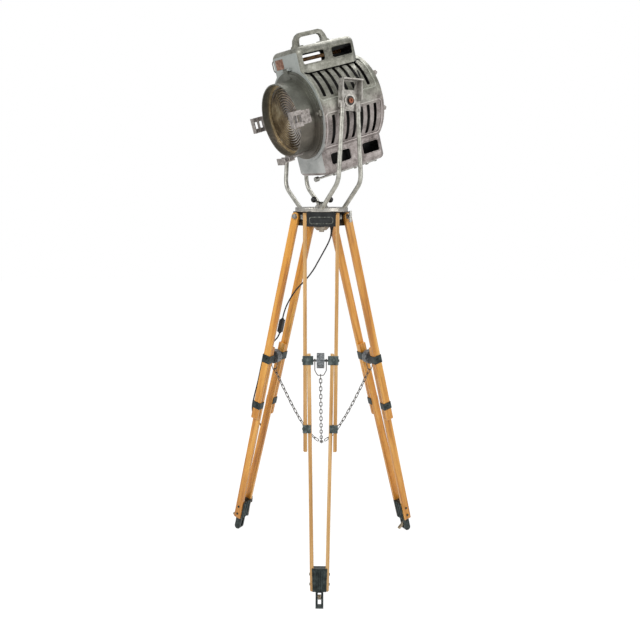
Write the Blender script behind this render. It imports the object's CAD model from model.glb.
import bmesh
import bpy
import math
import numpy as np
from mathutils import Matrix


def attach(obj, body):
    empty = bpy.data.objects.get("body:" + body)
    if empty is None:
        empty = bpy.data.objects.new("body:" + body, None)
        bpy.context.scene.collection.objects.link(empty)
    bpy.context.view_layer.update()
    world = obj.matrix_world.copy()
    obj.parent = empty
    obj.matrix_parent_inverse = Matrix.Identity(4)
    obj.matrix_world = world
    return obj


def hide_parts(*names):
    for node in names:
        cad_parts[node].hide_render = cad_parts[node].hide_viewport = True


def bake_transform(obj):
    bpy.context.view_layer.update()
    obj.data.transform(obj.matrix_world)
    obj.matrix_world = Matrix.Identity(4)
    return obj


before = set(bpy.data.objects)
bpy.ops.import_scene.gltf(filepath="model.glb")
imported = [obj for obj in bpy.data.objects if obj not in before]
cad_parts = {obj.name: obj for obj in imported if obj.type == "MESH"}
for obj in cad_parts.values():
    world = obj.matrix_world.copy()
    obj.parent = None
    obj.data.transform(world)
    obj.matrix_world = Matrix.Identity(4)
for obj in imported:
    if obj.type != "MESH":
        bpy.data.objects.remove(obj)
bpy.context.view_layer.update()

# The whole lamp is moved by SHIFT, in metres, from the tripod's own axis. The legs hinge at
# HINGE_Z, in mm, and the head tilts about the trunnion, on a yoke turned about the upright.
SHIFT = np.array([0.004608, 0.103654, 0.0])
HINGE_Z = 1340.0
TRUNNION = SHIFT + [0.0, 0.0, 1.739]
YOKE_TURN = math.radians(-146.3)
HEAD_TILT = math.radians(15.9)
# The drum's radius, and its axis's height seen from the trunnion, in the head's mm.
DRUM_R = 165.0
AXIS_Z = -14.0

# ------------------------------------------------------------------ studio
# A pale seamless floor and three large soft lamps round a slim, dark-and-honey
# lamp. The camera stands 2.8 m off at chest height and looks 10 degrees down.


def linear(code):
    """An sRGB hex colour as linear light: each channel is undone from the sRGB curve."""
    c = np.array([int(code[i:i + 2], 16) for i in (1, 3, 5)]) / 255.0
    c = np.where(c <= 0.04045, c / 12.92, ((c + 0.055) / 1.055) ** 2.4)
    return (float(c[0]), float(c[1]), float(c[2]), 1.0)


def add(tree, kind, settings=None, links=None):
    """Adds one shader node. Settings in small letters are its own, the others its sockets."""
    n = tree.nodes.new("ShaderNode" + kind)
    for key, value in (settings or {}).items():
        if isinstance(key, str) and key[0].islower():
            setattr(n, key, value)
        else:
            n.inputs[key].default_value = value
    for key, source in (links or {}).items():
        tree.links.new(source, n.inputs[key])
    return n


camera = bpy.data.objects.new("camera", bpy.data.cameras.new("camera"))
bpy.context.collection.objects.link(camera)
camera.location = (0.0523, -2.6983, 1.443)
camera.rotation_euler = (math.radians(90.0 - 10.03), 0.0, 0.01914)
camera.data.sensor_width = 36.0
camera.data.lens = 41.94
camera.data.clip_end = 60.0
bpy.context.scene.camera = camera
bpy.context.scene.view_settings.view_transform = "Standard"

floor_mesh = bpy.data.meshes.new("studio_floor")
floor_mesh.from_pydata([(-9, -9, 0), (9, -9, 0), (9, 9, 0), (-9, 9, 0)], [], [(0, 1, 2, 3)])
studio_floor = bpy.data.objects.new("studio_floor", floor_mesh)
bpy.context.collection.objects.link(studio_floor)
paper = bpy.data.materials.new("white_paper_sweep")
paper.use_nodes = True
t = paper.node_tree
t.nodes.clear()
sheet = add(t, "BsdfDiffuse", {"Color": linear("#E4E4E2")})
glow = add(t, "Emission", {"Color": (1.0, 1.0, 1.0, 1.0), "Strength": 1.13})
# What the camera sees of the paper is white, a little darker where the lamp shades it.
veil = add(t, "MixShader", {"Fac": 0.86}, {1: sheet.outputs[0], 2: glow.outputs[0]})
ray = add(t, "LightPath")
through = add(t, "Math", {"operation": "MAXIMUM"}, {0: ray.outputs["Is Camera Ray"],
                                                    1: ray.outputs["Is Transmission Ray"]})
seen = add(t, "Math", {"operation": "MAXIMUM"}, {0: through.outputs[0],
                                                 1: ray.outputs["Is Glossy Ray"]})
both = add(t, "MixShader", {}, {0: seen.outputs[0], 1: sheet.outputs[0], 2: veil.outputs[0]})
add(t, "OutputMaterial", {}, {0: both.outputs[0]})
floor_mesh.materials.append(paper)

world = bpy.data.worlds.new("soft_room")
bpy.context.scene.world = world
world.use_nodes = True
t = world.node_tree
t.nodes.clear()
ray = add(t, "LightPath")
seen = add(t, "Math", {"operation": "MAXIMUM"}, {0: ray.outputs["Is Camera Ray"],
                                                 1: ray.outputs["Is Transmission Ray"]})
room = add(t, "Background", {"Color": linear("#DADCE0"), "Strength": 0.55})
behind = add(t, "Background", {"Color": (1.0, 1.0, 1.0, 1.0), "Strength": 1.0})
both = add(t, "MixShader", {}, {0: seen.outputs[0], 1: room.outputs[0], 2: behind.outputs[0]})
add(t, "OutputWorld", {}, {0: both.outputs[0]})

for name, place, size, power in (("key", (-2.2, -2.6, 3.2), 1.8, 95.0),
                                 ("fill", (2.8, -1.6, 2.2), 2.2, 42.0),
                                 ("top", (0.4, 1.4, 4.0), 2.0, 55.0)):
    softbox = bpy.data.lights.new(name, "AREA")
    softbox.size = size
    softbox.energy = power
    holder = bpy.data.objects.new(name, softbox)
    bpy.context.collection.objects.link(holder)
    holder.location = place
    to = np.array([0.0, 0.1, 1.3]) - np.array(place)
    holder.rotation_euler = (math.atan2(math.hypot(to[0], to[1]), -to[2]), 0.0,
                             math.atan2(-to[0], to[1]))

# ------------------------------------------------------------------ mains cord, hanging part
# A round two-core rubber lead of 5.5 mm. It leaves a gland under the crown, sags
# towards the left leg and goes through an in-line switch between that leg's bars.
# The rows are the same route as the solid's, in metres.
CORD = 0.0055
hanging = [(0.0426, 0.1097, 1.2970), (0.0426, 0.1097, 1.2770), (0.0326, 0.1157, 1.2450),
           (0.0136, 0.1237, 1.2090), (-0.0064, 0.1297, 1.1730), (-0.0274, 0.1377, 1.1340),
           (-0.0574, 0.1497, 1.0950), (-0.0954, 0.1637, 1.0570), (-0.1264, 0.1797, 1.0070),
           (-0.1439, 0.1894, 0.9660), (-0.1501, 0.1930, 0.9379)]


def route_curve(name, points, thickness):
    """One open NURBS spline of order 3 whose control points are the rows given."""
    c = bpy.data.curves.new(name, "CURVE")
    c.dimensions = "3D"
    line = c.splines.new("NURBS")
    line.points.add(len(points) - 1)
    line.points.foreach_set("co", np.c_[np.array(points), np.ones(len(points))].ravel())
    line.order_u = 3
    line.use_endpoint_u = True
    line.resolution_u = 10
    c.bevel_depth = thickness / 2.0
    c.bevel_resolution = 5
    c.use_fill_caps = True
    o = bpy.data.objects.new(name, c)
    bpy.context.collection.objects.link(o)
    return o


def read_route(curve):
    """The points of a bevel-free curve, in order from its start."""
    m = bpy.data.meshes.new_from_object(curve)
    flat = np.empty(len(m.vertices) * 3)
    m.vertices.foreach_get("co", flat)
    bpy.data.meshes.remove(m)
    return flat.reshape(-1, 3)


def sheet_mesh(name, grid, wrap_u=False, wrap_v=True, ends=False):
    """A surface from a grid of points [i, j]: i runs along the piece, j round it.

    Neighbours (i, j), (i, j+1), (i+1, j+1), (i+1, j) make one face each; a wrapped
    direction joins its last row to its first, and ends closes the first and last ring.
    """
    m, n = grid.shape[:2]
    i = np.arange(m if wrap_u else m - 1)
    j = np.arange(n if wrap_v else n - 1)
    a, b = np.meshgrid(i, j, indexing="ij")
    a2, b2 = (a + 1) % m, (b + 1) % n
    quads = np.stack([a * n + b, a * n + b2, a2 * n + b2, a2 * n + b], axis=-1).reshape(-1, 4)
    faces = quads.tolist()
    if ends:
        faces.append(list(range(n))[::-1])
        faces.append(list(range((m - 1) * n, m * n)))
    mesh = bpy.data.meshes.new(name)
    mesh.from_pydata(grid.reshape(-1, 3).tolist(), [], faces)
    mesh.polygons.foreach_set("use_smooth", np.full(len(faces), True))
    mesh.set_sharp_from_angle(angle=math.radians(40.0))
    o = bpy.data.objects.new(name, mesh)
    bpy.context.collection.objects.link(o)
    return o


def along(path, radius, around=20, start=(0.0, 0.0, 1.0)):
    """A round section carried along a path: P + r (cos a side + sin a up).

    side is the path's direction crossed with start, up is side crossed with the direction.
    """
    path = np.asarray(path, float)
    step = np.gradient(path, axis=0)
    step /= np.linalg.norm(step, axis=1)[:, None]
    side = np.cross(step, np.array(start))
    side /= np.linalg.norm(side, axis=1)[:, None]
    up = np.cross(side, step)
    turn = np.linspace(0.0, 2.0 * np.pi, around, endpoint=False)
    r = np.broadcast_to(np.asarray(radius, float), (len(path),))
    return (path[:, None] + r[:, None, None] * (np.cos(turn)[None, :, None] * side[:, None]
                                                + np.sin(turn)[None, :, None] * up[:, None]))


def new_finish(name, **shader):
    """A material with a principled shader, and that material's tree and shader."""
    m = bpy.data.materials.new(name)
    m.use_nodes = True
    tree = m.node_tree
    tree.nodes.clear()
    s = add(tree, "BsdfPrincipled", {k.replace("_", " "): v for k, v in shader.items()})
    add(tree, "OutputMaterial", {}, {0: s.outputs[0]})
    return m, tree, s


def tones(tree, value, *stops):
    """A colour ramp over value with (place, hex) stops."""
    ramp = add(tree, "ValToRGB", {}, {0: value})
    e = ramp.color_ramp.elements
    e[0].position, e[0].color = stops[0][0], linear(stops[0][1])
    e[1].position, e[1].color = stops[-1][0], linear(stops[-1][1])
    for place, code in stops[1:-1]:
        e.new(place).color = linear(code)
    return ramp.outputs[0]


# Extruded natural rubber: soft black with a dusty bloom and faint drawing lines.
lead_rubber, t, s = new_finish("extruded_black_rubber", IOR=1.52)
here = add(t, "TexCoord").outputs["Object"]
bloom = add(t, "TexNoise", {"Scale": 55.0, "Detail": 6.0, "Roughness": 0.65}, {"Vector": here})
t.links.new(tones(t, bloom.outputs[0], (0.3, "#161515"), (0.55, "#211F1E"), (0.8, "#38342F")),
            s.inputs["Base Color"])
dull = add(t, "MapRange", {"To Min": 0.48, "To Max": 0.72}, {"Value": bloom.outputs[0]})
t.links.new(dull.outputs[0], s.inputs["Roughness"])
grit = add(t, "TexNoise", {"Scale": 1400.0, "Detail": 2.0}, {"Vector": here})
skin = add(t, "Bump", {"Strength": 0.25, "Distance": 0.00015}, {"Height": grit.outputs[0]})
t.links.new(skin.outputs[0], s.inputs["Normal"])

# The lead's round section is laid out from this direction, which the lead never takes.
CORD_START = (0.55, 0.83, 0.0)
guide = route_curve("hanging_route", hanging, 0.0)
run = read_route(guide)
bpy.data.objects.remove(guide)
cord_hanging = sheet_mesh("cord_hanging", along(run, CORD / 2.0, 18, CORD_START), ends=True)
cord_hanging.data.materials.append(lead_rubber)
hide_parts("cord_upper")

# The gland's rubber sleeve tapers down the lead, so that it can't kink there: its radius
# falls from 5.2 to 3.2 mm, with a small rib at every RIB_STEP down to RIB_END.
SLEEVE_LENGTH = 0.032
RIB_STEP, RIB_END = 0.0032, 0.028
walk = np.concatenate([[0.0], np.cumsum(np.linalg.norm(np.diff(run, axis=0), axis=1))])
stations = np.linspace(0.0, SLEEVE_LENGTH, 40)
sleeve_path = np.stack([np.interp(stations, walk, run[:, k]) for k in range(3)], axis=1)
ribs = 0.00032 * np.cos(stations / RIB_STEP * 2.0 * np.pi) * (stations < RIB_END)
taper = 0.0052 - 0.0020 * (stations / SLEEVE_LENGTH) ** 0.8 + ribs
sleeve = sheet_mesh("cord_sleeve", along(sleeve_path, taper, 24, CORD_START), ends=True)
sleeve.data.materials.append(lead_rubber)
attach(sleeve, "crown")

# ------------------------------------------------------------------ mains cord, lower part
# From the switch the lead goes over the collar on the left leg's inner side, down
# behind its bars to the floor, and ends in a tied hank of four loops and a plug.
# The loops are in the hank's own frame, turned 93.4 degrees on the floor.
lower = [(-0.1634, 0.2006, 0.8778), (-0.1684, 0.2024, 0.8616), (-0.1916, 0.2031, 0.8379),
         (-0.2174, 0.1926, 0.8113), (-0.2308, 0.1853, 0.7741), (-0.2414, 0.1868, 0.7251),
         (-0.2535, 0.1961, 0.6722), (-0.2668, 0.2015, 0.6242), (-0.2782, 0.2104, 0.5763),
         (-0.2798, 0.2309, 0.5410), (-0.2730, 0.2593, 0.5122), (-0.2603, 0.2913, 0.4846),
         (-0.2503, 0.3086, 0.4484), (-0.2443, 0.3132, 0.3992), (-0.2541, 0.3142, 0.3416),
         (-0.2689, 0.3239, 0.2842), (-0.2815, 0.3289, 0.2257), (-0.2979, 0.3360, 0.1683),
         (-0.3059, 0.3537, 0.1260), (-0.3139, 0.3717, 0.0850), (-0.3214, 0.3917, 0.0450),
         (-0.3295, 0.4147, 0.0038), (-0.3315, 0.4486, 0.0038)]
# The hank's half turns: which end, radius and middle in mm, and the layer's height. A loop
# draws in to the middle, climbs a layer along one run, and winds out again on top.
HANK_RUN = 46.0
LOW_LAYER, TOP_LAYER = 3.8, 10.1
HANK_PLACE = (-0.3620, 0.3950)
HANK_TURN = math.radians(93.4)
half_turns = ((1, 22.9, 0.0, LOW_LAYER), (-1, 19.75, 3.15, LOW_LAYER), (1, 16.6, 0.0, LOW_LAYER),
              (-1, 16.6, 0.0, TOP_LAYER), (1, 19.75, 3.15, TOP_LAYER), (-1, 22.9, 0.0, TOP_LAYER))
loops = [(-20.0, -22.9, LOW_LAYER), (16.0, -22.8, LOW_LAYER)]
for number, (end, r, middle, height) in enumerate(half_turns):
    wide = r / math.cos(math.radians(15.0))
    for a in np.radians(np.arange(-75.0, 76.0, 30.0)):
        slack = 0.35 * math.sin(2.4 * number + a)
        loops.append((end * (HANK_RUN + slack + wide * math.cos(a)),
                      middle + end * wide * math.sin(a), height))
    climb = half_turns[min(number + 1, len(half_turns) - 1)][3] - height
    for along_run, share in ((18.0, 0.2), (-18.0, 0.8)):
        loops.append((end * along_run, middle + end * r, height + share * climb))
loops.append((63.0, -22.9, TOP_LAYER))
hank = np.array(loops) / 1000.0
c, s = math.cos(HANK_TURN), math.sin(HANK_TURN)
hank = np.stack([hank[:, 0] * c - hank[:, 1] * s + HANK_PLACE[0] + SHIFT[0],
                 hank[:, 0] * s + hank[:, 1] * c + HANK_PLACE[1] + SHIFT[1],
                 hank[:, 2]], axis=1)
cord_low = route_curve("cord_low", np.concatenate([np.array(lower), hank]), CORD)
cord_low.data.materials.append(lead_rubber)
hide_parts("cord_lower", "cord_hank")
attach(cord_low, "left_leg")

# ------------------------------------------------------------------ shared finishes
# The lamp is all bare or plated metal, ash and rubber; what several pieces share
# is set out here once, each finish with blotches and grit at their real size. A
# finish's roughness varies by SPREAD either way.


SPREAD = 0.12


def mottled(name, dark, mid, light, grain_mm, rough, bump_mm, metallic=1.0, **shader):
    """A finish of three tones in blotches of grain_mm, with a fine grit in its surface."""
    m, tree, s = new_finish(name, Metallic=metallic, **shader)
    here = add(tree, "TexCoord").outputs["Object"]
    blotch = add(tree, "TexNoise", {"Scale": 1000.0 / grain_mm, "Detail": 7.0, "Roughness": 0.64},
                 {"Vector": here})
    grit = add(tree, "TexNoise", {"Scale": 6000.0 / grain_mm, "Detail": 3.0}, {"Vector": here})
    tree.links.new(tones(tree, blotch.outputs[0], (0.33, dark), (0.5, mid), (0.68, light)),
                   s.inputs["Base Color"])
    dull = add(tree, "MapRange", {"To Min": rough - SPREAD, "To Max": rough + SPREAD},
               {"Value": blotch.outputs[0]})
    tree.links.new(dull.outputs[0], s.inputs["Roughness"])
    both = add(tree, "Math", {"operation": "MULTIPLY_ADD", 1: 0.5},
               {0: grit.outputs[0], 2: blotch.outputs[0]})
    relief = add(tree, "Bump", {"Strength": 0.35, "Distance": bump_mm / 1000.0},
                 {"Height": both.outputs[0]})
    tree.links.new(relief.outputs[0], s.inputs["Normal"])
    return m


def give(material, *nodes):
    """Dresses CAD pieces, which keep their own mesh, in a finish."""
    for n in nodes:
        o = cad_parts[n]
        if len(o.material_slots) == 0:
            o.data.materials.append(material)
        for slot in o.material_slots:
            slot.material = material


def eased(node, width_mm, material, steps=2, limit=32.0):
    """A copy of a CAD piece, doubles merged and flat faces joined, its edges rounded."""
    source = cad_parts[node]
    work = bmesh.new()
    work.from_mesh(source.data)
    bmesh.ops.remove_doubles(work, verts=work.verts, dist=2e-6)
    bmesh.ops.dissolve_limit(work, angle_limit=math.radians(0.4), verts=work.verts,
                             edges=work.edges)
    mesh = bpy.data.meshes.new(node + "_eased")
    work.to_mesh(mesh)
    work.free()
    mesh.polygons.foreach_set("use_smooth", np.full(len(mesh.polygons), True))
    mesh.materials.clear()
    mesh.materials.append(material)
    mesh.set_sharp_from_angle(angle=math.radians(limit))
    o = bpy.data.objects.new(node + "_eased", mesh)
    bpy.context.collection.objects.link(o)
    round_off = o.modifiers.new("edges", "BEVEL")
    round_off.width = width_mm / 1000.0
    round_off.segments = steps
    round_off.limit_method = "ANGLE"
    round_off.angle_limit = math.radians(limit)
    round_off.harden_normals = True
    round_off.use_clamp_overlap = True
    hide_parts(node)
    return o


# Zinc-plated steel of the hardware: grey, a little cloudy, dull in its hollows.
zinc = mottled("zinc_plated_steel", "#7E7D78", "#9D9C96", "#BDBBB5", 14.0, 0.36, 0.08)
# Steel blackened hot in oil: near black with a blue-green cast, bare on rubbed spots.
oil_black = mottled("oil_blackened_steel", "#1C2221", "#2E3634", "#4B5452", 16.0, 0.4, 0.15, 0.55)

# ------------------------------------------------------------------ crown
# An iron casting with three pairs of lugs that the legs fold on, stove-enamelled
# black. Its front panel is a shallow bare field with a raised rim and round corners.
stove = mottled("black_stove_enamel", "#0C0D0D", "#151716", "#2A2D2C", 24.0, 0.34, 0.25, 0.0,
                Coat_Weight=0.3, Coat_Roughness=0.2)
crown = eased("crown_casting", 2.0, stove, 3)
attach(crown, "crown")

CORNER_POINTS = 96
stretch = np.linspace(0.0, 2.0 * np.pi, CORNER_POINTS, endpoint=False)


def rounded(width, height, corner):
    """A rectangle with round corners: a circle of the corner's radius pushed out in x and z
    by the sign of its cosine and sine to the corners' centres."""
    c, s = np.cos(stretch), np.sin(stretch)
    return np.stack([corner * c + (width / 2.0 - corner) * np.sign(np.round(c, 9)),
                     corner * s + (height / 2.0 - corner) * np.sign(np.round(s, 9))], axis=1)


# The rim stands 2 mm proud: a half-round bead carried round the field, its enamel rubbed
# grey. The field's middle lies FIELD_DROP below the hinge, the crown's front at CROWN_FRONT.
field = rounded(84.0, 23.0, 7.0)
FIELD_DROP = 12.0
CROWN_FRONT = 91.9
outward = np.stack([np.cos(stretch), np.sin(stretch)], axis=1)
bead = np.linspace(0.0, np.pi, 9)
rim = np.empty((CORNER_POINTS, 9, 3))
rim[:, :, 0] = (field[:, :1] + 1.9 * np.cos(bead) * outward[:, :1]) / 1000.0
rim[:, :, 1] = -(CROWN_FRONT + 2.0 * np.sin(bead)) / 1000.0
rim[:, :, 2] = (HINGE_Z - FIELD_DROP + field[:, 1:] + 1.9 * np.cos(bead) * outward[:, 1:]) / 1000.0
rim = rim + SHIFT
crown_rim = sheet_mesh("crown_field_rim", rim, wrap_u=True, wrap_v=False)
worn_enamel = mottled("rubbed_black_enamel", "#2B2D2B", "#555853", "#8B8D86", 6.0, 0.4, 0.1, 0.3)
crown_rim.data.materials.append(worn_enamel)
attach(crown_rim, "crown")

# ------------------------------------------------------------------ hinge bolts and gland
# Hexagon bolts with washers hold the legs' heads; the right one has a wing nut. The
# gland is a moulded rubber bush with its nut inside the crown.
bolts = eased("hinge_bolts", 0.6, zinc)
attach(bolts, "crown")
bush = mottled("moulded_black_rubber", "#131312", "#1C1B1A", "#2C2A28", 9.0, 0.58, 0.1, 0.0)
give(bush, "cord_gland")

# ------------------------------------------------------------------ yoke base and nut
# A turned and nickel-plated steel disc on a shaft, and below the crown the shaft's
# big nut in gunmetal, turned as a flange, a cone and a stub. Its profile is in mm,
# radius and height above the hinge.
plate_nickel = mottled("brushed_nickel_disc", "#A39F96", "#C4C0B7", "#DDD9D0", 30.0, 0.34, 0.06, 0.8)
give(plate_nickel, "yoke_base_plate")
gunmetal = mottled("turned_gunmetal", "#7C7264", "#A3998A", "#C2B9AA", 14.0, 0.4, 0.06, 0.7)
nut_r = np.array([0.1, 9.0, 9.4, 9.4, 10.0, 17.0, 19.5, 28.6, 30.0, 30.0, 29.2, 0.1])
nut_z = np.array([-58.0, -58.0, -57.5, -53.6, -52.8, -52.0, -50.4, -41.0, -39.8, -36.0, -34.5,
                  -34.5])
spin = np.linspace(0.0, 2.0 * np.pi, 72, endpoint=False)
nut = np.empty((len(nut_r), len(spin), 3))
nut[:, :, 0] = nut_r[:, None] * np.cos(spin) / 1000.0
nut[:, :, 1] = -nut_r[:, None] * np.sin(spin) / 1000.0
nut[:, :, 2] = (HINGE_Z + nut_z[:, None]) / 1000.0
cap = sheet_mesh("turned_cap", nut + SHIFT, ends=True)
cap.data.materials.append(gunmetal)
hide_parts("pan_nut")
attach(cap, "yoke")

# ------------------------------------------------------------------ yoke tubes and brackets
# Four steel tubes of 16 mm under satin plating, each bent once and welded to the
# disc's edge. They are held by sleeves in two brackets of rubbed cast aluminium. Their
# places are in mm from the trunnion: forward, sideways and up.
TUBE_R = 0.008
TUBE_BEND_R = 60.0
TUBE_SIDE = 182.0
DISC_TOP = -366.0
SUNK = 9.0


def bent_path(top, bend, foot, radius):
    """Two straight runs and the arc that touches both: the arc's centre lies on the bisector
    of the bend, radius / cos(half the turn) from it, and its points turn evenly about it."""
    u, w = top - bend, foot - bend
    u, w = u / np.linalg.norm(u), w / np.linalg.norm(w)
    half = (math.pi - math.acos(float(u @ w))) / 2.0
    middle = (u + w) / np.linalg.norm(u + w)
    centre = bend + middle * radius / math.cos(half)
    a, b = bend + u * radius * math.tan(half), bend + w * radius * math.tan(half)
    share = np.linspace(0.0, 1.0, 16)[:, None]
    from_a, from_b = np.sin((1.0 - share) * 2.0 * half), np.sin(share * 2.0 * half)
    arc = centre + (from_a * (a - centre) + from_b * (b - centre)) / math.sin(2.0 * half)
    return np.concatenate([top + (a - top) * np.linspace(0.0, 0.96, 14)[:, None], arc,
                           b + (foot - b) * np.linspace(0.04, 1.0, 12)[:, None]])


tube_nickel = mottled("aged_satin_nickel_tube", "#8C8A81", "#B2B0A6", "#CDCBC2", 16.0, 0.44, 0.08, 0.6)
bracket_cast = mottled("rubbed_bracket_casting", "#7E7A74", "#A19D96", "#C2BFB8", 12.0, 0.5, 0.3, 0.55)
for side, sign, bend_z in (("near", 1.0, -274.0), ("far", -1.0, -290.0)):
    turned_by = YOKE_TURN + (0.0 if sign > 0 else math.pi)
    forward = np.array([math.cos(turned_by), math.sin(turned_by), 0.0])
    sideways = np.array([-math.sin(turned_by), math.cos(turned_by), 0.0])
    for end, f, top_z in (("front", 1.0, -16.0), ("rear", -1.0, -26.0)):
        top, bend_at, foot = [np.array(p) for p in ((f * 32.0, TUBE_SIDE, top_z),
                                                    (f * 48.0, TUBE_SIDE, bend_z),
                                                    (f * 48.0, 79.0, DISC_TOP))]
        foot = foot + (foot - bend_at) / np.linalg.norm(foot - bend_at) * SUNK
        line = bent_path(top, bend_at, foot, TUBE_BEND_R) / 1000.0
        line = line[:, :1] * forward + line[:, 1:2] * sideways + line[:, 2:] * [0.0, 0.0, 1.0]
        tube = sheet_mesh("yoke_tube_%s_%s" % (side, end),
                          along(line + TRUNNION, TUBE_R, 28, tuple(forward)), ends=True)
        tube.data.materials.append(tube_nickel)
        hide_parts("yoke_tubes_" + side)
        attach(tube, "yoke")
    o = eased("yoke_bracket_" + side, 1.2, bracket_cast)
    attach(o, "yoke")

# ------------------------------------------------------------------ pan lock
# A V of two bent rods with black moulded balls, screwed into the disc's boss. The
# balls are known by their distance from their own middles.
LOCK_TURN = math.radians(4.0)
LOCK_Z = 1.3843
BALL_R = 0.01115
ball_middles = np.array([[30.0, -32.0, 17.0], [-30.0, -32.0, 17.0]]) / 1000.0
c, s = math.cos(LOCK_TURN), math.sin(LOCK_TURN)
ball_middles = np.stack([ball_middles[:, 0] * c - ball_middles[:, 1] * s,
                         ball_middles[:, 0] * s + ball_middles[:, 1] * c,
                         ball_middles[:, 2]], axis=1) + SHIFT + [0.0, 0.0, LOCK_Z]
lock_finish, t, s = new_finish("steel_rod_and_black_ball", IOR=1.5)
here = add(t, "TexCoord").outputs["Object"]
near_ball = [add(t, "VectorMath", {"operation": "DISTANCE", 1: tuple(p)}, {0: here}).outputs["Value"]
             for p in ball_middles]
nearest = add(t, "Math", {"operation": "MINIMUM"}, {0: near_ball[0], 1: near_ball[1]})
bare = add(t, "Math", {"operation": "GREATER_THAN", 1: BALL_R}, {0: nearest.outputs[0]})
wear = add(t, "TexNoise", {"Scale": 140.0, "Detail": 6.0}, {"Vector": here})
steel = tones(t, wear.outputs[0], (0.3, "#5C5A55"), (0.6, "#8A8780"))
ball = tones(t, wear.outputs[0], (0.3, "#0C0C0C"), (0.7, "#242322"))
paint = add(t, "MixRGB", {}, {0: bare.outputs[0], 1: ball, 2: steel})
t.links.new(paint.outputs[0], s.inputs["Base Color"])
t.links.new(bare.outputs[0], s.inputs["Metallic"])
dull = add(t, "MapRange", {"To Min": 0.18, "To Max": 0.42}, {"Value": wear.outputs[0]})
t.links.new(dull.outputs[0], s.inputs["Roughness"])
give(lock_finish, "pan_lock_handle")

# ------------------------------------------------------------------ housing
# One aluminium sand casting: a drum with ribs between louvre slots, a chimney box
# above and a deeper box below. Green-grey skin above and pinkish grey below, a paler
# machined front face, and heat-proof black paint inside.
c, s = math.cos(YOKE_TURN), math.sin(YOKE_TURN)
turn_z = np.array([[c, -s, 0], [s, c, 0], [0, 0, 1]])
c, s = math.cos(HEAD_TILT), math.sin(HEAD_TILT)
turn_y = np.array([[c, 0, s], [0, 1, 0], [-s, 0, c]])
HEAD = turn_z @ turn_y


def on_head(points):
    """Points in the head's mm (forward, near side, up) as metres in the lamp's frame."""
    return np.asarray(points, float) / 1000.0 @ HEAD.T + TRUNNION


def head_place(tree):
    """Shader coordinates in the head's own mm: the object's, moved back, turned back, scaled."""
    here = add(tree, "TexCoord").outputs["Object"]
    moved = add(tree, "VectorMath", {"operation": "SUBTRACT", 1: tuple(TRUNNION)}, {0: here})
    parts = [add(tree, "VectorMath", {"operation": "DOT_PRODUCT", 1: tuple(HEAD[:, k] * 1000.0)},
                 {0: moved.outputs[0]}).outputs["Value"] for k in range(3)]
    whole = add(tree, "CombineXYZ", {}, {0: parts[0], 1: parts[1], 2: parts[2]})
    return parts, whole.outputs[0]


# The drum's painted inside: its ends along the axis and its radius, 3.6 mm under the skin.
INSIDE_REAR, INSIDE_FRONT, INSIDE_R = -152.2, 106.2, 161.4
# The two boxes: middle, half sizes and the radius of their edges. Paint starts PAINT_DEPTH in.
BOXES = (((-13.0, 0.0, 115.0), (121.0, 101.0, 95.0), 24.0),
         ((-31.0, 0.0, -137.5), (134.0, 98.0, 97.5), 19.0))
PAINT_DEPTH = 1.8
BARE_METAL = 0.55


def painted_inside(tree, a, n, z, place):
    """1 inside the drum or a box with rounded edges, 0 on the skin and outside.

    The low box reaches past the drum's end, so part of the rear door lies inside it too.
    """
    up = add(tree, "Math", {"operation": "SUBTRACT", 1: AXIS_Z}, {0: z})
    across = add(tree, "CombineXYZ", {}, {1: n, 2: up.outputs[0]})
    radius = add(tree, "VectorMath", {"operation": "LENGTH"}, {0: across.outputs[0]})
    drum = add(tree, "Math", {"operation": "LESS_THAN", 1: INSIDE_R}, {0: radius.outputs["Value"]})
    for way, limit in (("GREATER_THAN", INSIDE_REAR), ("LESS_THAN", INSIDE_FRONT)):
        test = add(tree, "Math", {"operation": way, 1: limit}, {0: a})
        drum = add(tree, "Math", {"operation": "MULTIPLY"}, {0: drum.outputs[0], 1: test.outputs[0]})
    inside = drum
    for middle, half, r in BOXES:
        off = add(tree, "VectorMath", {"operation": "SUBTRACT", 1: middle}, {0: place})
        off = add(tree, "VectorMath", {"operation": "ABSOLUTE"}, {0: off.outputs[0]})
        off = add(tree, "VectorMath", {"operation": "SUBTRACT", 1: tuple(h - r for h in half)},
                  {0: off.outputs[0]})
        off = add(tree, "VectorMath", {"operation": "MAXIMUM", 1: (0.0, 0.0, 0.0)},
                  {0: off.outputs[0]})
        far = add(tree, "VectorMath", {"operation": "LENGTH"}, {0: off.outputs[0]})
        box = add(tree, "Math", {"operation": "LESS_THAN", 1: r - PAINT_DEPTH},
                  {0: far.outputs["Value"]})
        inside = add(tree, "Math", {"operation": "MAXIMUM"}, {0: inside.outputs[0], 1: box.outputs[0]})
    return inside.outputs[0]


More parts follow.
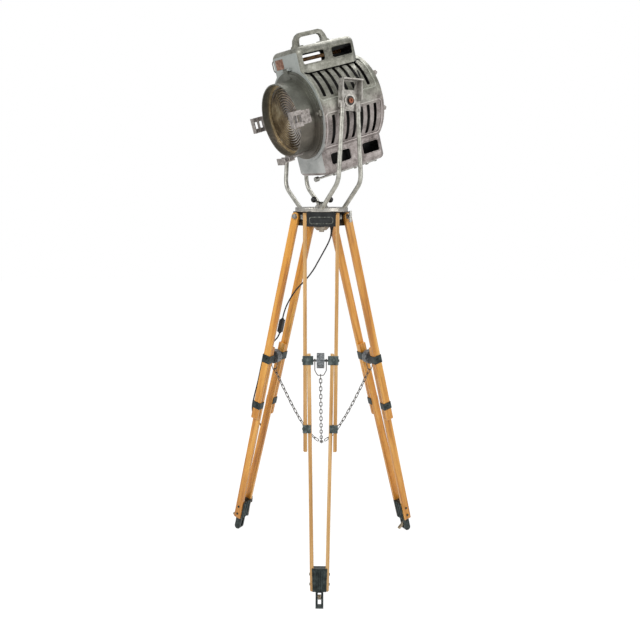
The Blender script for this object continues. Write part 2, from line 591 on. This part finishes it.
def cast_skin(name, upper, lower, face, inner, rough=0.5):
    """The casting's skin: upper tones above the axis, lower tones below, a paler machined face
    on the fronts of the drum and the low box. inner says if the inside is painted black."""
    m, tree, s = new_finish(name)
    (a, n, z), place = head_place(tree)
    cloud = add(tree, "TexNoise", {"Scale": 0.021, "Detail": 8.0, "Roughness": 0.66},
                {"Vector": place})
    speck = add(tree, "TexNoise", {"Scale": 0.16, "Detail": 5.0, "Roughness": 0.7},
                {"Vector": place})
    sand = add(tree, "TexNoise", {"Scale": 1.3, "Detail": 3.0}, {"Vector": place})
    both = add(tree, "Math", {"operation": "MULTIPLY_ADD", 1: 0.45},
               {0: speck.outputs[0], 2: cloud.outputs[0]})
    above, below = [tones(tree, both.outputs[0], (0.52, c[0]), (0.72, c[1]), (0.95, c[2]))
                    for c in (upper, lower)]
    # The two tones meet along a ragged line: the height is shaken by the large clouds.
    drift = add(tree, "Math", {"operation": "MULTIPLY_ADD", 1: 120.0},
                {0: cloud.outputs[0], 2: z})
    height = add(tree, "MapRange", {"From Min": 10.0, "From Max": 75.0},
                 {"Value": drift.outputs[0]})
    skin = add(tree, "MixRGB", {}, {0: height.outputs[0], 1: below, 2: above}).outputs[0]
    drum_face = add(tree, "Math", {"operation": "GREATER_THAN", 1: 106.6}, {0: a})
    low = add(tree, "Math", {"operation": "LESS_THAN", 1: -120.0}, {0: z})
    low_ahead = add(tree, "Math", {"operation": "GREATER_THAN", 1: 101.6}, {0: a})
    low_face = add(tree, "Math", {"operation": "MULTIPLY"},
                   {0: low.outputs[0], 1: low_ahead.outputs[0]})
    machined = add(tree, "Math", {"operation": "MAXIMUM"},
                   {0: drum_face.outputs[0], 1: low_face.outputs[0]})
    machined = add(tree, "Math", {"operation": "MULTIPLY", 1: 0.62}, {0: machined.outputs[0]})
    skin = add(tree, "MixRGB", {2: linear(face)}, {0: machined.outputs[0], 1: skin}).outputs[0]
    s.inputs["Metallic"].default_value = BARE_METAL
    if inner:
        sooty = painted_inside(tree, a, n, z, place)
        skin = add(tree, "MixRGB", {2: linear("#0D0B0A")}, {0: sooty, 1: skin}).outputs[0]
        metal = add(tree, "Math", {"operation": "MULTIPLY_ADD", 1: -BARE_METAL, 2: BARE_METAL},
                    {0: sooty})
        tree.links.new(metal.outputs[0], s.inputs["Metallic"])
    tree.links.new(skin, s.inputs["Base Color"])
    dull = add(tree, "MapRange", {"From Min": 0.5, "From Max": 0.95, "To Min": rough + 0.14,
                                  "To Max": rough - 0.12}, {"Value": both.outputs[0]})
    tree.links.new(dull.outputs[0], s.inputs["Roughness"])
    height = add(tree, "Math", {"operation": "MULTIPLY_ADD", 1: 0.4},
                 {0: sand.outputs[0], 2: speck.outputs[0]})
    relief = add(tree, "Bump", {"Strength": 0.5, "Distance": 0.0006}, {"Height": height.outputs[0]})
    tree.links.new(relief.outputs[0], s.inputs["Normal"])
    return m


head_cast = cast_skin("sand_cast_aluminium", ("#5C5B52", "#87867B", "#A9A89E"),
                      ("#6B635F", "#9B928E", "#BDB5B1"), "#BEC4C1", True)
housing = eased("housing", 2.0, head_cast, 2, 34.0)
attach(housing, "head")

bead = np.linspace(0.0, np.pi, 7)


def head_rim(name, loop, side, material):
    """A bead [along, across] in the head's mm, closed to a rim. The far side's is turned over,
    so that it faces outward too."""
    if side < 0:
        loop = loop[:, ::-1]
    piece = sheet_mesh("%s_%s" % (name, "near" if side > 0 else "far"), on_head(loop), wrap_u=True,
                       wrap_v=False)
    piece.data.materials.append(material)
    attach(piece, "head")


# Raised rims round the eight windows, cast with the box: a half-round bead.
for name, x0, x1, z0, z1, half in (("rear_top", -110, -25, 150, 184, 101.0),
                                   ("front_top", 8, 98, 150, 184, 101.0),
                                   ("front_low", -11, 73, -201, -163, 98.0),
                                   ("rear_low", -141, -69, -201, -163, 98.0)):
    for side in (-1, 1):
        line = rounded(x1 - x0 + 5.0, z1 - z0 + 5.0, 9.5)
        loop = np.empty((len(line), len(bead), 3))
        loop[:, :, 0] = (x0 + x1) / 2.0 + line[:, :1] + 2.2 * np.cos(bead) * outward[:, :1]
        loop[:, :, 2] = (z0 + z1) / 2.0 + line[:, 1:] + 2.2 * np.cos(bead) * outward[:, 1:]
        loop[:, :, 1] = side * (half - 0.1 + 1.7 * np.sin(bead))
        head_rim("window_rim_" + name, loop, side, head_cast)

# Cast beads frame the slot fields on the drum. Each is a rounded rectangle laid on the
# drum: along the axis as it is, and round it by arc length over the drum's radius.
rubbed_bead = cast_skin("rubbed_cast_bead", ("#7C7D72", "#A1A296", "#BFC0B5"),
                        ("#A49A96", "#C9BFBB", "#DDD4D0"), "#BEC4C1", False)
for name, a0, a1, z0, z1 in (("upper", -136.0, 100.0, 25.0, 128.0),
                             ("lower", -140.0, 95.0, -135.0, -24.0)):
    s0, s1 = [DRUM_R * math.asin((z - AXIS_Z) / DRUM_R) for z in (z0, z1)]
    line = rounded(a1 - a0 + 5.0, s1 - s0 + 5.0, 12.0)
    at_a = (a0 + a1) / 2.0 + line[:, :1] + 2.4 * np.cos(bead) * outward[:, :1]
    at_s = (s0 + s1) / 2.0 + line[:, 1:] + 2.4 * np.cos(bead) * outward[:, 1:]
    # Long straight sides are divided, so that they follow the drum's curve.
    shares = np.linspace(0.0, 1.0, 8, endpoint=False)[:, None, None]
    at_a, at_s = [(v + (np.roll(v, -1, axis=0) - v) * shares).transpose(1, 0, 2).reshape(-1, len(bead))
                  for v in (at_a, at_s)]
    out_r = DRUM_R - 0.1 + 1.8 * np.sin(bead)
    for side in (-1, 1):
        loop = np.stack([at_a, side * out_r * np.cos(at_s / DRUM_R),
                         AXIS_Z + out_r * np.sin(at_s / DRUM_R)], axis=-1)
        head_rim("slot_field_bead_" + name, loop, side, rubbed_bead)

# ------------------------------------------------------------------ handle, plate and inside
# The handle is a cast bow on two feet; the plate on the front is bare copper on two
# rivets. Inside are sooty shelves and slot liners, and a rod tanned by the lamp's heat.
handle = eased("carry_handle", 4.0, head_cast, 3, 30.0)
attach(handle, "head")
copper = mottled("bare_copper_sheet", "#6E4634", "#98705C", "#BC9684", 9.0, 0.38, 0.08, 0.85)
plate = eased("label_plate", 0.4, copper)
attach(plate, "head")
# The stay rod, within ROD_R of its own line, is tan; shelves and slot liners are soot black.
ROD_R, ROD_Z = 7.2, 167.0
soot, t, s = new_finish("sooted_sheet_and_tan_rod", Roughness=0.6)
(a, n, z), place = head_place(t)
above_rod = add(t, "Math", {"operation": "SUBTRACT", 1: ROD_Z}, {0: z})
from_rod = add(t, "CombineXYZ", {}, {0: n, 1: above_rod.outputs[0]})
from_rod = add(t, "VectorMath", {"operation": "LENGTH"}, {0: from_rod.outputs[0]})
rod = add(t, "Math", {"operation": "LESS_THAN", 1: ROD_R}, {0: from_rod.outputs["Value"]})
scorch = add(t, "TexNoise", {"Scale": 0.05, "Detail": 6.0}, {"Vector": place})
black = tones(t, scorch.outputs[0], (0.3, "#0B0908"), (0.7, "#1B1613"))
tan = tones(t, scorch.outputs[0], (0.3, "#8A5F38"), (0.55, "#B98A5A"), (0.75, "#D0A877"))
paint = add(t, "MixRGB", {}, {0: rod.outputs[0], 1: black, 2: tan})
t.links.new(paint.outputs[0], s.inputs["Base Color"])
give(soot, "inner_baffle")
# A sooty light screen stands in the low box between its windows: a rounded sheet whose
# middle is given forward and up, and its two faces sideways.
SCREEN_MIDDLE = (-31.0, -195.0)
SCREEN_FACES = [[-31.2], [-30.0]]
screen_line = rounded(216.0, 72.0, 6.0)
screen = np.empty((len(SCREEN_FACES), len(screen_line), 3))
screen[:, :, 0] = SCREEN_MIDDLE[0] + screen_line[:, 0]
screen[:, :, 1] = SCREEN_FACES
screen[:, :, 2] = SCREEN_MIDDLE[1] + screen_line[:, 1]
light_screen = sheet_mesh("low_light_screen", on_head(screen), ends=True)
light_screen.data.materials.append(soot)
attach(light_screen, "head")
give(zinc, "guide_rods")

# ------------------------------------------------------------------ lens door
# A spun and turned aluminium barrel on a flange, patinated green-grey above and
# brown below, with a thin rubbed rim, and pressed steel clips for a colour frame.
barrel_skin = cast_skin("patinated_barrel", ("#3E413A", "#62665C", "#8A8D82"),
                        ("#40362E", "#63574C", "#85796D"), "#6E6C63", False, 0.38)
barrel = eased("lens_barrel", 0.8, barrel_skin)
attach(barrel, "lens_door")
clip_steel = mottled("zinc_plated_clip", "#6F6963", "#948D88", "#B7B0AB", 9.0, 0.5, 0.08, 0.5)
clips = eased("filter_clips", 0.7, clip_steel)
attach(clips, "lens_door")


def turned(profile, around=128):
    """A surface turned about the optical axis: (a, r) becomes (a, r cos t, axis + r sin t)."""
    p = np.asarray(profile, float)
    t = np.linspace(0.0, 2.0 * np.pi, around, endpoint=False)
    grid = np.empty((len(p), around, 3))
    grid[:, :, 0] = p[:, :1]
    grid[:, :, 1] = p[:, 1:] * np.cos(t)
    grid[:, :, 2] = AXIS_Z + p[:, 1:] * np.sin(t)
    return on_head(grid)


# The barrel's rolled front lip, a torus section 3.4 mm thick, rubbed bright.
bend = np.linspace(0.0, 2.0 * np.pi, 12, endpoint=False)
rubbed = mottled("rubbed_bright_lip", "#8F8C84", "#B5B2AA", "#D2CFC7", 10.0, 0.3, 0.05)
lip = sheet_mesh("barrel_lip", turned(np.stack([179.2 + 1.7 * np.cos(bend), 124.6 + 1.7 * np.sin(bend)],
                                              axis=1)), wrap_u=True)
lip.data.materials.append(rubbed)
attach(lip, "lens_door")
brass_ring = mottled("tarnished_brass_ring", "#A98F68", "#CDB58C", "#E6D4B2", 8.0, 0.34, 0.05, 0.7)
give(brass_ring, "lens_ring")

# ------------------------------------------------------------------ stepped lens
# Pressed glass, warm from age: twelve prism rings in front, each a slope and a
# riser, round a low dome. Its rings catch light in fine gold and brown bands.
RINGS = 12
LENS_R = 110.0
PITCH = 106.0 / RINGS
TOOTH_FOOT = 147.0
rings = np.arange(RINGS)
out_r = LENS_R - rings * PITCH
in_r = out_r - PITCH
crest = 149.0 + 4.2 * (1.0 - (rings / RINGS) ** 2)
part = np.linspace(0.0, 1.0, 6)
slope_r = out_r[:, None] + (in_r + 0.3 - out_r)[:, None] * part
slope_a = TOOTH_FOOT + (crest - TOOTH_FOOT)[:, None] * np.sin(part * np.pi / 2.0)
face = np.stack([slope_a.ravel(), slope_r.ravel()], axis=1)
face = np.concatenate([[(144.1, 0.2), (144.1, 122.0), (149.9, 122.0), (149.9, 112.6), (147.2, 112.4)],
                       face, [(151.0, 3.0), (151.4, 0.2)]])
lens_glass, t, s = new_finish("pressed_warm_glass", IOR=1.52)
(a, n, z), place = head_place(t)
up = add(t, "Math", {"operation": "SUBTRACT", 1: AXIS_Z}, {0: z})
disc = add(t, "CombineXYZ", {}, {0: n, 1: up.outputs[0]})
radius = add(t, "VectorMath", {"operation": "LENGTH"}, {0: disc.outputs[0]})
streak = add(t, "TexNoise", {"Scale": 0.016, "Detail": 4.0}, {"Vector": disc.outputs[0]})
# One saw tooth for each prism ring, dark at its outer edge and pale at its crest.
band = add(t, "Math", {"operation": "MULTIPLY_ADD", 1: -1.0 / PITCH, 2: LENS_R / PITCH},
           {0: radius.outputs["Value"]})
saw = add(t, "Math", {"operation": "FRACT"}, {0: band.outputs[0]})
mixed = add(t, "Math", {"operation": "MULTIPLY_ADD", 1: 0.7}, {0: saw.outputs[0], 2: streak.outputs[0]})
part_mix = add(t, "Math", {"operation": "MULTIPLY_ADD", 1: 0.8, 2: -0.2}, {0: mixed.outputs[0]})
t.links.new(tones(t, part_mix.outputs[0], (0.2, "#120D08"), (0.48, "#33271A"), (0.66, "#5E4D35"),
                  (0.8, "#A08D6C"), (0.9, "#D6C7A4")), s.inputs["Base Color"])
s.inputs["Transmission Weight"].default_value = 0.12
s.inputs["Coat Weight"].default_value = 0.7
s.inputs["Coat Roughness"].default_value = 0.06
haze = add(t, "MapRange", {"To Min": 0.1, "To Max": 0.34}, {"Value": streak.outputs[0]})
t.links.new(haze.outputs[0], s.inputs["Roughness"])
lens = sheet_mesh("stepped_lens", turned(face[::-1], 160), ends=True)
lens.data.materials.append(lens_glass)
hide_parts("fresnel_lens")
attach(lens, "lens_door")

# ------------------------------------------------------------------ rear door
# A spun aluminium disc with a raised panel; two plated over-centre catches.
rear = eased("rear_cover", 1.2, head_cast)
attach(rear, "rear_door")
catches = eased("rear_latches", 0.8, clip_steel)
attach(catches, "rear_door")

# ------------------------------------------------------------------ carriage and lamp
# A folded sheet tray on two rods carries a steatite holder, a tubular glass lamp and
# a silvered spherical mirror. A steel rod below the head pushes it to focus.
heat_tan = mottled("heat_tanned_sheet_steel", "#77603C", "#9C825A", "#BDA47A", 22.0, 0.46, 0.1, 0.5)
give(heat_tan, "lamp_carriage")
steatite = mottled("glazed_steatite", "#B9B29E", "#D2CCBB", "#E2DDCF", 12.0, 0.26, 0.05, 0.0)
give(steatite, "lamp_socket")
silvered, t, s = new_finish("silvered_mirror", Metallic=1.0)
here = add(t, "TexCoord").outputs["Object"]
dust = add(t, "TexNoise", {"Scale": 60.0, "Detail": 7.0}, {"Vector": here})
t.links.new(tones(t, dust.outputs[0], (0.35, "#CFC9BC"), (0.7, "#EFECE4")), s.inputs["Base Color"])
dull = add(t, "MapRange", {"To Min": 0.03, "To Max": 0.22}, {"Value": dust.outputs[0]})
t.links.new(dull.outputs[0], s.inputs["Roughness"])
give(silvered, "reflector")
lamp_glass, t, s = new_finish("clear_lamp_glass", IOR=1.47)
here = add(t, "TexCoord").outputs["Object"]
film = add(t, "TexNoise", {"Scale": 45.0, "Detail": 5.0}, {"Vector": here})
t.links.new(tones(t, film.outputs[0], (0.4, "#F1EDE2"), (0.7, "#FFFFFF")), s.inputs["Base Color"])
dull = add(t, "MapRange", {"To Min": 0.02, "To Max": 0.12}, {"Value": film.outputs[0]})
t.links.new(dull.outputs[0], s.inputs["Roughness"])
s.inputs["Transmission Weight"].default_value = 0.92
give(lamp_glass, "lamp_bulb")
give(zinc, "focus_rod")

# ------------------------------------------------------------------ tilt clamps
# Plated rings round a copper-coloured bolt on each trunnion, on a grey handle. They are
# painted by the distance from the trunnion's axis, as a share of 40 mm.
clamp_finish, t, s = new_finish("plated_washer_copper_bolt", Metallic=0.35, Roughness=0.46)
(a, n, z), place = head_place(t)
disc = add(t, "CombineXYZ", {}, {0: a, 1: z})
radius = add(t, "VectorMath", {"operation": "LENGTH"}, {0: disc.outputs[0]})
wear = add(t, "TexNoise", {"Scale": 0.12, "Detail": 6.0}, {"Vector": place})
# Bolt to 9 mm, dark recess to 15, a ring at 17-22, a groove, a ring at 25-31, then the handle.
ragged = add(t, "Math", {"operation": "MULTIPLY_ADD", 1: 0.03, 2: -0.015}, {0: wear.outputs[0]})
share = add(t, "Math", {"operation": "MULTIPLY_ADD", 1: 1.0 / 40.0},
            {0: radius.outputs["Value"], 2: ragged.outputs[0]})
paint = tones(t, share.outputs[0], (0.0, "#A85C36"), (0.2, "#8C4B2C"), (0.24, "#4F4238"),
              (0.38, "#2B2622"), (0.42, "#D8D4CC"), (0.54, "#C9C4BB"), (0.58, "#37322E"),
              (0.62, "#2F2B28"), (0.65, "#CBC7BE"), (0.77, "#B5B0A7"), (0.82, "#5E5B53"))
old = tones(t, wear.outputs[0], (0.35, "#77736B"), (0.6, "#FFFFFF"))
worn = add(t, "MixRGB", {0: 0.6, "blend_type": "MULTIPLY"}, {1: paint, 2: old})
t.links.new(worn.outputs[0], s.inputs["Base Color"])
give(clamp_finish, "tilt_clamp_near", "tilt_clamp_far")

# ------------------------------------------------------------------ legs
# Each leg is two upper and two lower bars of ash under honey varnish. The grain
# runs along the leg, so each leg's finish is laid in that leg's own direction. The
# front leg's bars are paler.
LEG_LEAN = math.radians(14.32)
for leg, azimuth in (("front", -90.0), ("right", 30.0), ("left", 150.0)):
    az = math.radians(azimuth)
    down = np.array([math.cos(az) * math.sin(LEG_LEAN), math.sin(az) * math.sin(LEG_LEAN),
                     -math.cos(LEG_LEAN)])
    across = np.array([-math.sin(az), math.cos(az), 0.0])
    out = np.cross(across, -down)
    ash, t, s = new_finish("varnished_ash_" + leg, IOR=1.5, Coat_Weight=0.35, Coat_Roughness=0.12)
    here = add(t, "TexCoord").outputs["Object"]
    # Along the grain 1 unit is 260 mm, across it 11 mm, so rings draw out into streaks.
    laid = [add(t, "VectorMath", {"operation": "DOT_PRODUCT", 1: tuple(axis * scale)},
                {0: here}).outputs["Value"] for axis, scale in ((down, 3.8), (across, 90.0), (out, 70.0))]
    grain = add(t, "CombineXYZ", {}, {0: laid[0], 1: laid[1], 2: laid[2]})
    growth = add(t, "TexNoise", {"Scale": 1.0, "Detail": 5.0, "Roughness": 0.55, "Distortion": 0.35},
                 {"Vector": grain.outputs[0]})
    pores = add(t, "TexNoise", {"Scale": 5.5, "Detail": 3.0, "Roughness": 0.7},
                {"Vector": grain.outputs[0]})
    sun = add(t, "TexNoise", {"Scale": 4.2, "Detail": 2.0}, {"Vector": here})
    shades = (("#A87A40", "#CC9F62", "#DBB47C", "#E6C797") if leg == "front" else
              ("#B06C1C", "#DC9836", "#ECAE4E", "#F1C078"))
    base = tones(t, growth.outputs[0], (0.3, shades[0]), (0.48, shades[1]), (0.62, shades[2]),
                 (0.78, shades[3]))
    fleck = tones(t, pores.outputs[0], (0.32, "#8C5A24"), (0.46, "#FFFFFF"))
    lit = add(t, "MixRGB", {0: 0.4, "blend_type": "MULTIPLY"}, {1: base, 2: fleck})
    faded = tones(t, sun.outputs[0], (0.35, "#EFD9B8"), (0.65, "#FFFFFF"))
    final = add(t, "MixRGB", {0: 0.35, "blend_type": "MULTIPLY"}, {1: lit.outputs[0], 2: faded})
    t.links.new(final.outputs[0], s.inputs["Base Color"])
    dull = add(t, "MapRange", {"To Min": 0.3, "To Max": 0.5}, {"Value": pores.outputs[0]})
    t.links.new(dull.outputs[0], s.inputs["Roughness"])
    relief = add(t, "Bump", {"Strength": 0.2, "Distance": 0.0003}, {"Height": pores.outputs[0]})
    t.links.new(relief.outputs[0], s.inputs["Normal"])
    for which, body in (("upper", "_leg"), ("lower", "_leg_lower")):
        o = eased("%s_%s_bars" % (leg, which), 1.2, ash)
        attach(o, leg + body)

# Collars, straps and feet are steel and iron blackened in oil, worn greyer on the front
# leg; knobs are grey ribbed castings, chains dull zinc, and the treads bare light alloy.
ribbed = mottled("grey_ribbed_casting", "#565A5C", "#7D8183", "#A7AAAB", 9.0, 0.46, 0.2, 0.5)
worn_oil = mottled("worn_blackened_steel", "#333C3A", "#515B58", "#7A8481", 12.0, 0.42, 0.15, 0.5)
chain_zinc = mottled("dull_zinc_wire", "#45433F", "#6A6762", "#96928B", 8.0, 0.4, 0.08, 0.9)
tread_alloy = mottled("bare_light_alloy", "#8A7A60", "#AE9E84", "#CCBEA6", 8.0, 0.44, 0.15, 0.8)
for leg in ("front", "right", "left"):
    for node, body, width, finish, slot_name in (
            ("_clamp_collars", "_leg", 0.6, oil_black, "blackened_steel"),
            ("_guide_straps", "_leg", 0.6, oil_black, "blackened_steel"),
            ("_foot_casting", "_leg_lower", 0.8, oil_black, "blackened_steel"),
            ("_clamp_knob", "_knob", 0.5, ribbed, "knob_steel"),
            ("_foot_tread", "_tread", 0.6, tread_alloy, "light_alloy")):
        if leg == "front" and finish == oil_black and body == "_leg":
            finish = worn_oil
        o = eased(leg + node, width, finish)
        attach(o, leg + body)
    give(chain_zinc, leg + "_chain")

# ------------------------------------------------------------------ switch, tie and plug
# A moulded black switch in the lead between the left leg's bars, a moulded tie round the
# hank, and a moulded plug on the floor.
moulded = mottled("moulded_black_polyamide", "#101010", "#191918", "#282726", 7.0, 0.44, 0.08, 0.0)
switch, tie, plug = [eased(node, width, moulded) for node, width in
                     (("cord_switch", 1.0), ("cord_tie", 0.3), ("cord_plug", 1.0))]
for piece in (switch, tie, plug):
    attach(piece, "left_leg")

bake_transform(cord_hanging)
